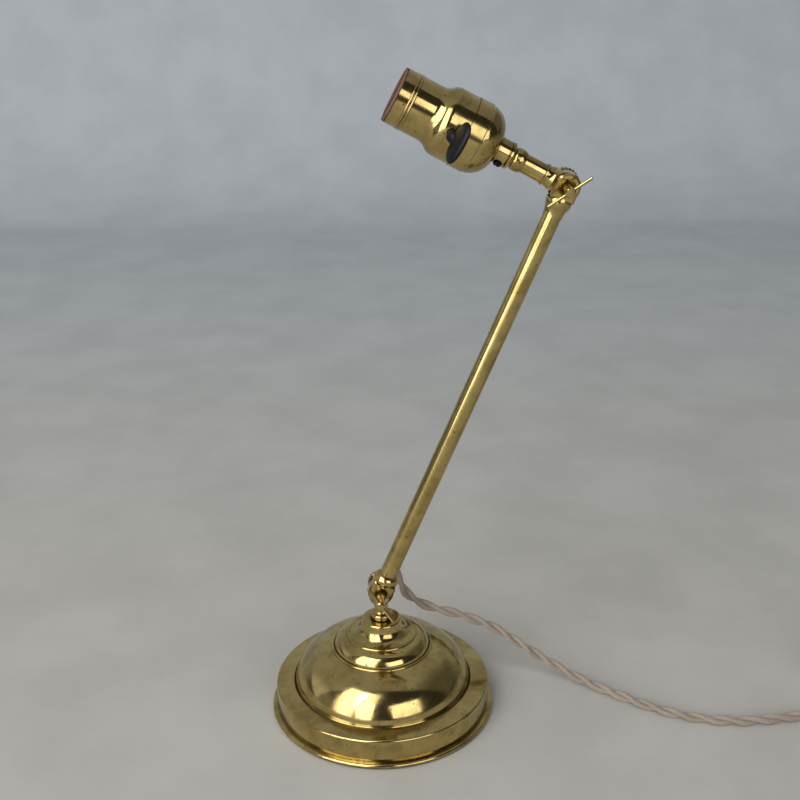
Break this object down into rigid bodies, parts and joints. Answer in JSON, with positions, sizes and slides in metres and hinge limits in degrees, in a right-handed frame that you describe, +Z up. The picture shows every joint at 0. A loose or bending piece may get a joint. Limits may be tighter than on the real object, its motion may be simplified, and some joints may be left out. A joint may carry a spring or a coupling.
{
  "type": "bare bulb table lamp",
  "caption": "Adjustable brass table lamp: stepped round weighted base, straight arm between two thumbscrew clamp joints, and a bare screw lampholder with a turn key and cloth cord",
  "frame": {"origin": "centre of the underside of the base, on the table", "axes": "+Z is up; +X is the side that the arm leans to and -X the side that the lampholder points to; -Y is the side of the thumbscrews"},
  "size_m": [0.4755, 0.1823, 0.4118],
  "materials": {
    "polished_brass": "aged polished brass, slightly dulled and speckled",
    "shell_brass": "thin rolled brass, dull",
    "cast_iron": "rough as cast",
    "felt": "thick pressed felt",
    "steel": "zinc plated, dull",
    "dark_steel": "blackened",
    "fibre": "pressed insulating fibre",
    "porcelain": "glazed porcelain",
    "black_key": "moulded black, softly polished",
    "cloth_cord": "braided cloth over two twisted conductors",
    "plug_plastic": "moulded"
  },
  "bodies": {
    "base": {"base_shell": "polished_brass", "base_weight": "cast_iron", "base_felt": "felt", "base_rod": "steel", "base_washer": "steel", "base_locknut": "steel", "base_post": "polished_brass", "cord_tube": "cloth_cord", "cord_coil": "cloth_cord", "cord_tail": "cloth_cord", "plug_body": "plug_plastic", "plug_blades": "polished_brass"},
    "arm": {"arm_tube": "polished_brass", "arm_lower_fork": "polished_brass", "arm_upper_fork": "polished_brass", "cord_outlet": "polished_brass", "arm_wires": "cloth_cord", "lower_clamp_washer": "polished_brass", "lower_clamp_nut": "polished_brass", "upper_clamp_washer": "polished_brass", "upper_clamp_nut": "polished_brass"},
    "lower_screw": {"lower_thumbscrew": "polished_brass", "lower_thumbscrew_bar": "polished_brass"},
    "upper_screw": {"upper_thumbscrew": "polished_brass", "upper_thumbscrew_bar": "polished_brass"},
    "head": {"head_knuckle": "polished_brass", "neck_tube": "polished_brass", "neck_coupling": "polished_brass", "neck_disc": "polished_brass", "cap_bushing": "polished_brass", "set_screw": "dark_steel", "cap_nipple": "steel", "cap_locknut": "steel", "socket_cap": "polished_brass", "socket_shell": "polished_brass", "socket_liner": "fibre", "screw_shell": "shell_brass", "insulator_block": "porcelain", "centre_contact": "shell_brass", "terminal_screws": "polished_brass", "head_wires": "cloth_cord"},
    "key": {"switch_stem": "steel", "switch_key": "black_key"}
  },
  "joints": [
    {"name": "arm_tilt", "type": "hinge", "parent": "base", "child": "arm", "pos_m": [0, 0, 0.0842], "axis": [0, 1, 0], "range_deg": [-112.5, 67.5]},
    {"name": "head_tilt", "type": "hinge", "parent": "arm", "child": "head", "pos_m": [0.10853, 0, 0.34621], "axis": [0, 1, 0], "range_deg": [-15.6, 184.4]},
    {"name": "lower_screw_turn", "type": "hinge", "parent": "arm", "child": "lower_screw", "pos_m": [0, -0.015, 0.0842], "axis": [0, -1, 0], "range_deg": [0, 360]},
    {"name": "upper_screw_turn", "type": "hinge", "parent": "arm", "child": "upper_screw", "pos_m": [0.10853, -0.015, 0.34621], "axis": [0, -1, 0], "range_deg": [0, 360]},
    {"name": "key_turn", "type": "hinge", "parent": "head", "child": "key", "pos_m": [0.0429, -0.02029, 0.37884], "axis": [0.2848, -0.9221, -0.2619], "continuous": true}
  ]
}
